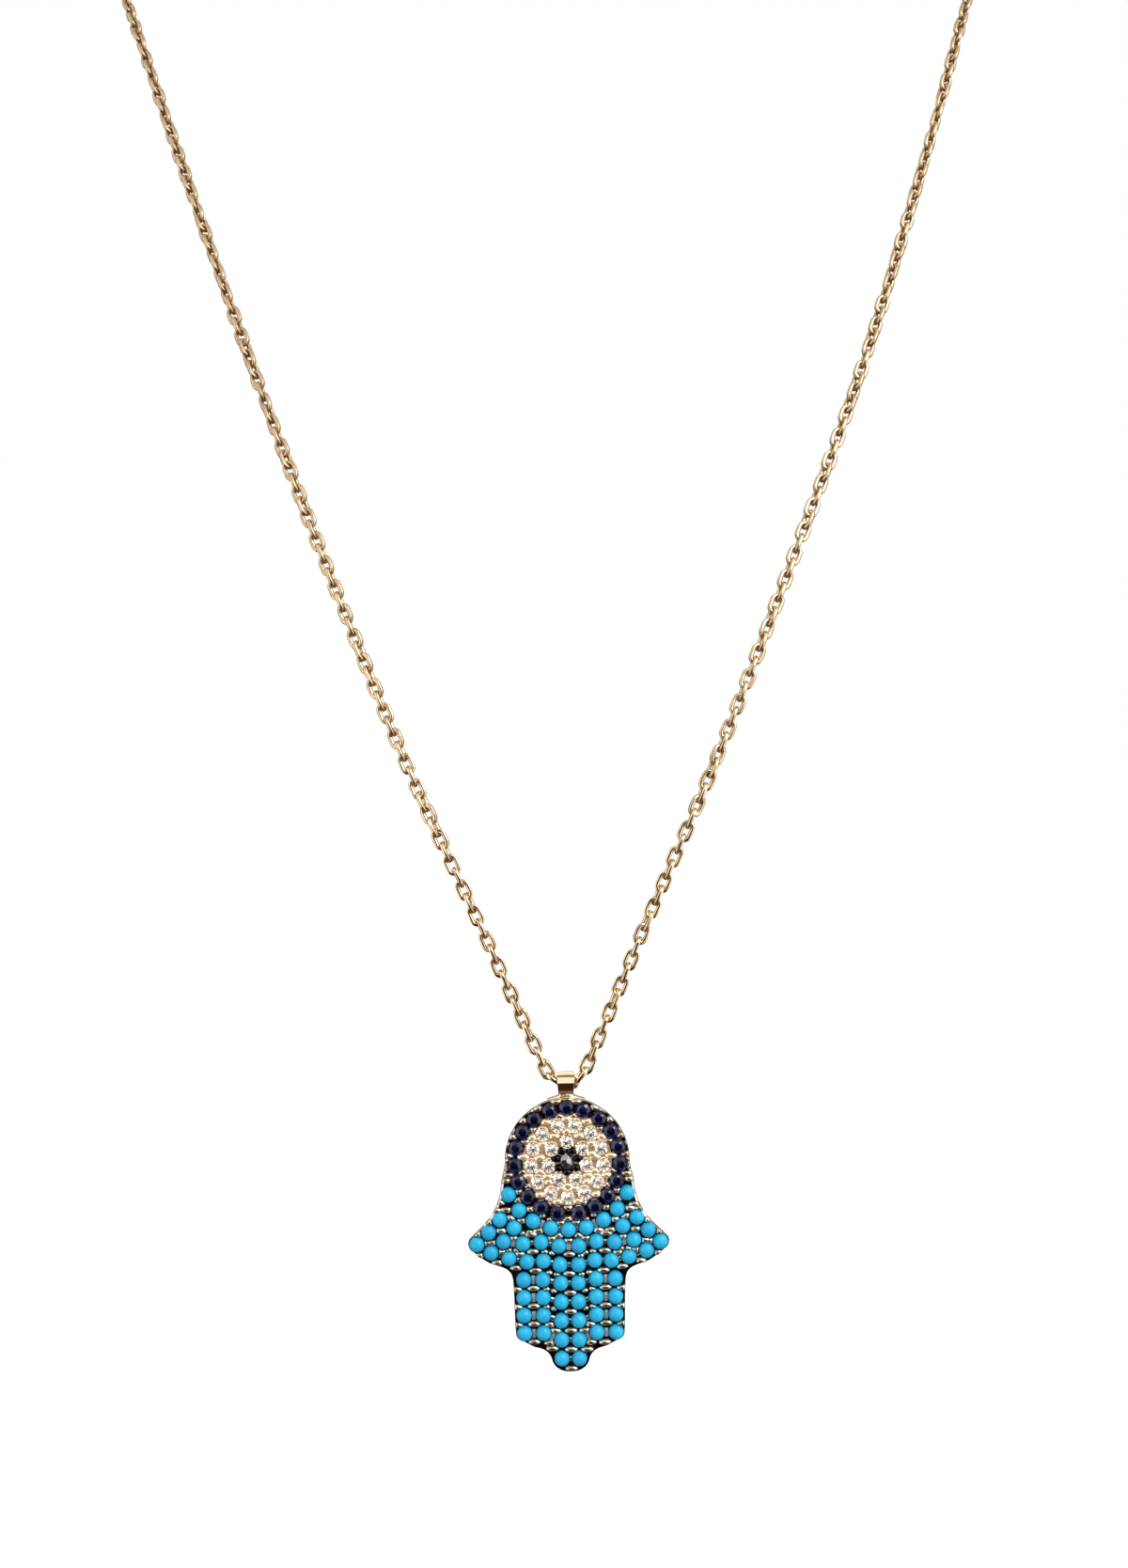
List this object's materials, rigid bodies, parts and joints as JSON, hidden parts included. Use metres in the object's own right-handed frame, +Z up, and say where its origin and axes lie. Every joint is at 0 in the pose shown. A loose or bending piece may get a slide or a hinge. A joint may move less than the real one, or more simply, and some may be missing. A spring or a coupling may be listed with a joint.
{
  "type": "hamsa pendant necklace",
  "caption": "Gold hamsa pendant with turquoise fingers and a navy and clear stone eye, hanging by its bail on a whole loop of fine cable chain with a spring ring clasp.",
  "frame": {"origin": "the neck's axis, at the height where the chain passes the sides of the neck", "axes": "+Z up along the neck, -Y to the front where the pendant hangs with its stones facing -Y, +X to the right as seen from the front"},
  "size_m": [0.0988, 0.0975, 0.1628],
  "materials": {
    "gold_plate": "polished, blackened between the stones",
    "gold_chain": "polished",
    "turquoise": "satin",
    "navy_stone": "polished",
    "clear_stone": "polished",
    "black_stone": "polished"
  },
  "bodies": {
    "chain": {"chain_left": "gold_chain", "chain_right": "gold_chain", "clasp": "gold_chain"},
    "pendant": {"setting": "gold_plate", "turquoise_stones": "turquoise", "navy_stones": "navy_stone", "clear_stones": "clear_stone", "pupil_stone": "black_stone"}
  },
  "joints": [
    {"name": "pendant_swing", "type": "hinge", "parent": "chain", "child": "pendant", "pos_m": [0, -0.05, -0.12], "axis": [1, 0, 0], "range_deg": [-90, 90]}
  ]
}
